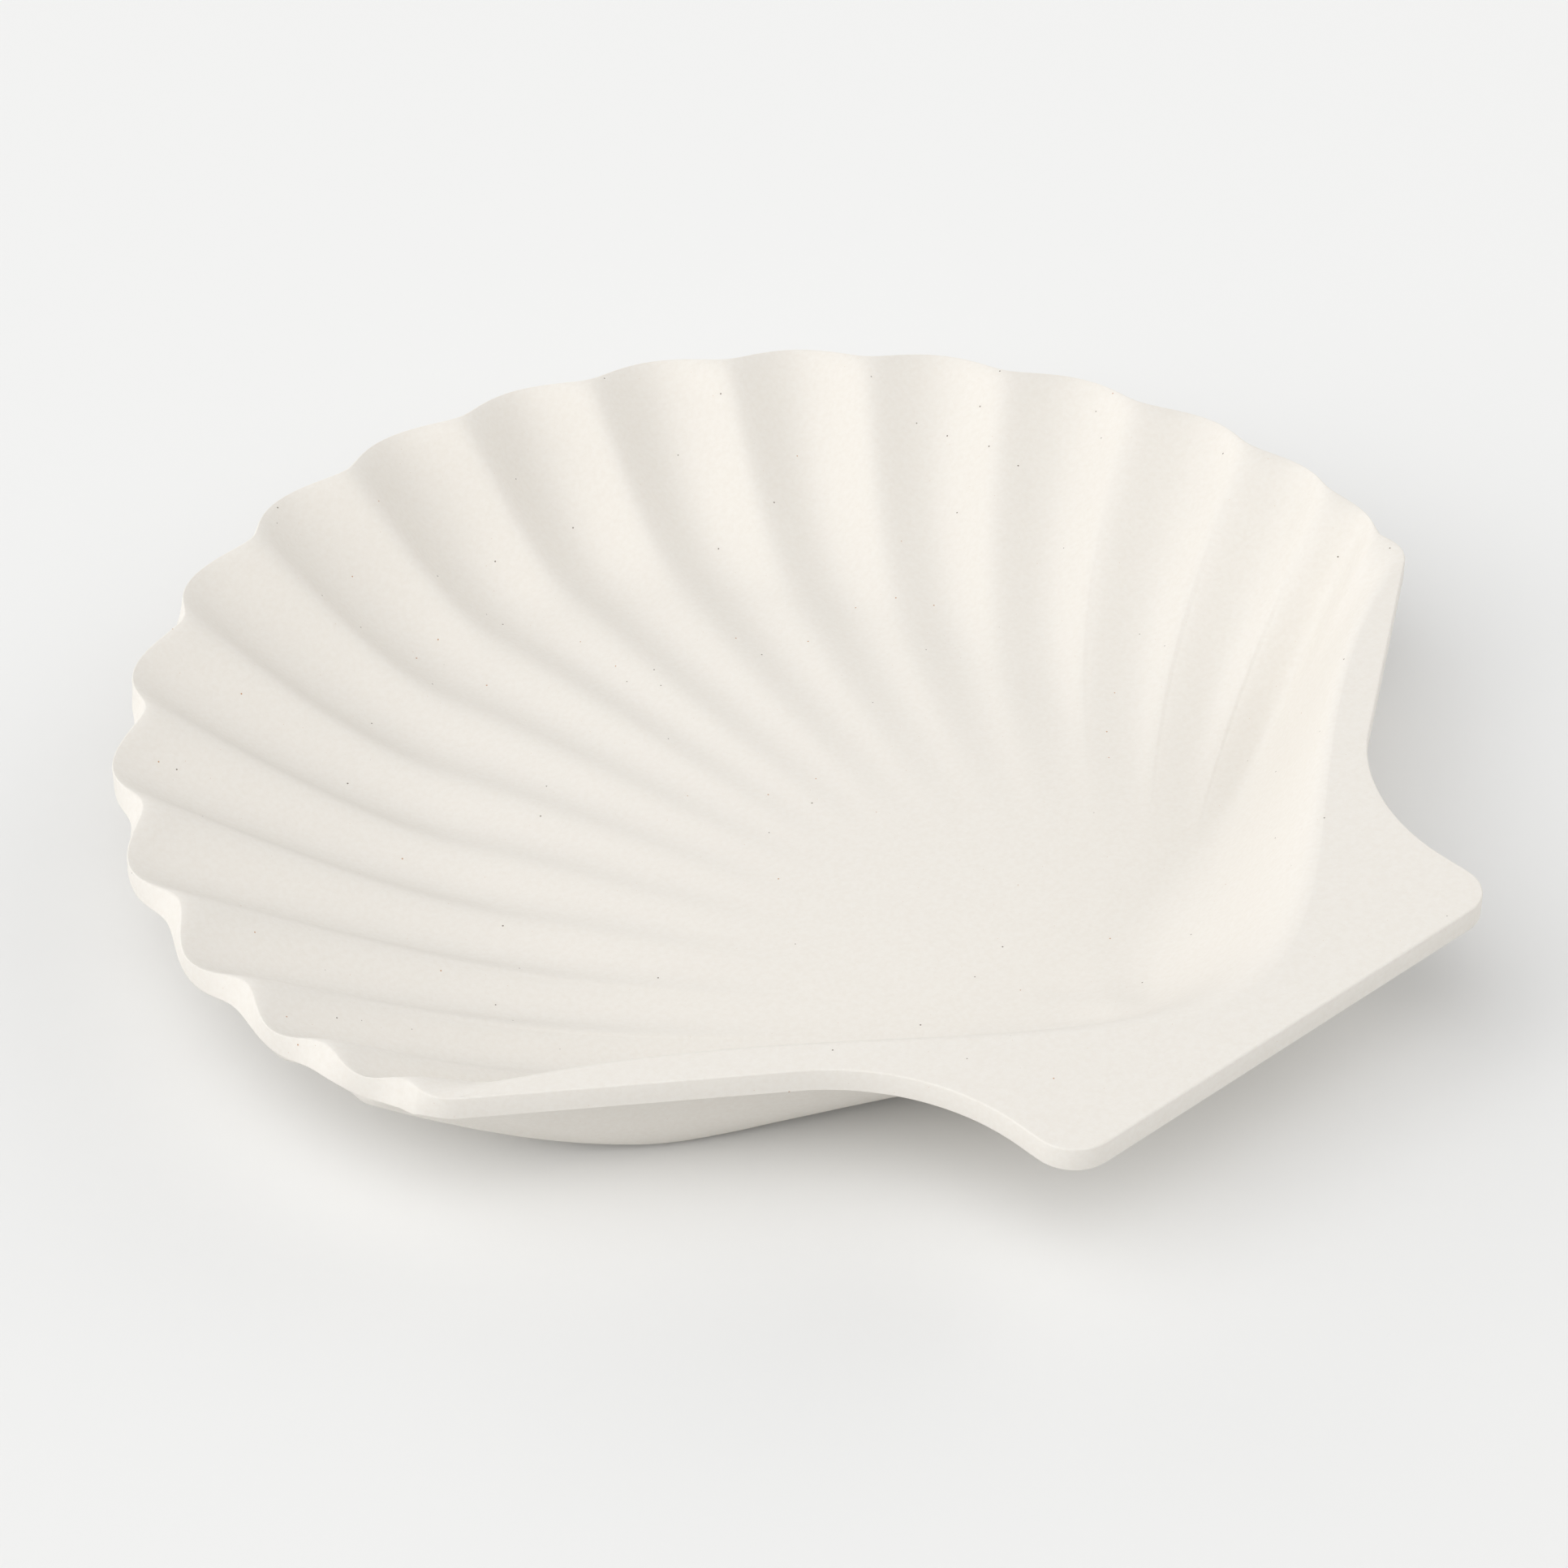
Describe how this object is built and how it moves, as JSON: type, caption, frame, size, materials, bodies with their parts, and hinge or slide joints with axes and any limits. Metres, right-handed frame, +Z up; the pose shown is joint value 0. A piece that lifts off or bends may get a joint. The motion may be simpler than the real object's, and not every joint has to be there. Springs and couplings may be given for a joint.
{
  "type": "shell shaped platter",
  "caption": "Shallow serving platter shaped like a fan shell, with flutes that run out to a scalloped rim and a flat, straight hinge edge with two rounded ears.",
  "frame": {"origin": "on the standing surface, under the middle of the platter's outline", "axes": "+Z up, +Y from the straight hinge edge to the middle flute, +X across the fan, with the two halves mirrored about X = 0"},
  "size_m": [0.3096, 0.297, 0.0366],
  "materials": {
    "stoneware": "matte, warm off-white, with sparse fine dark specks"
  },
  "bodies": {
    "root": {"platter": "stoneware"}
  },
  "joints": []
}
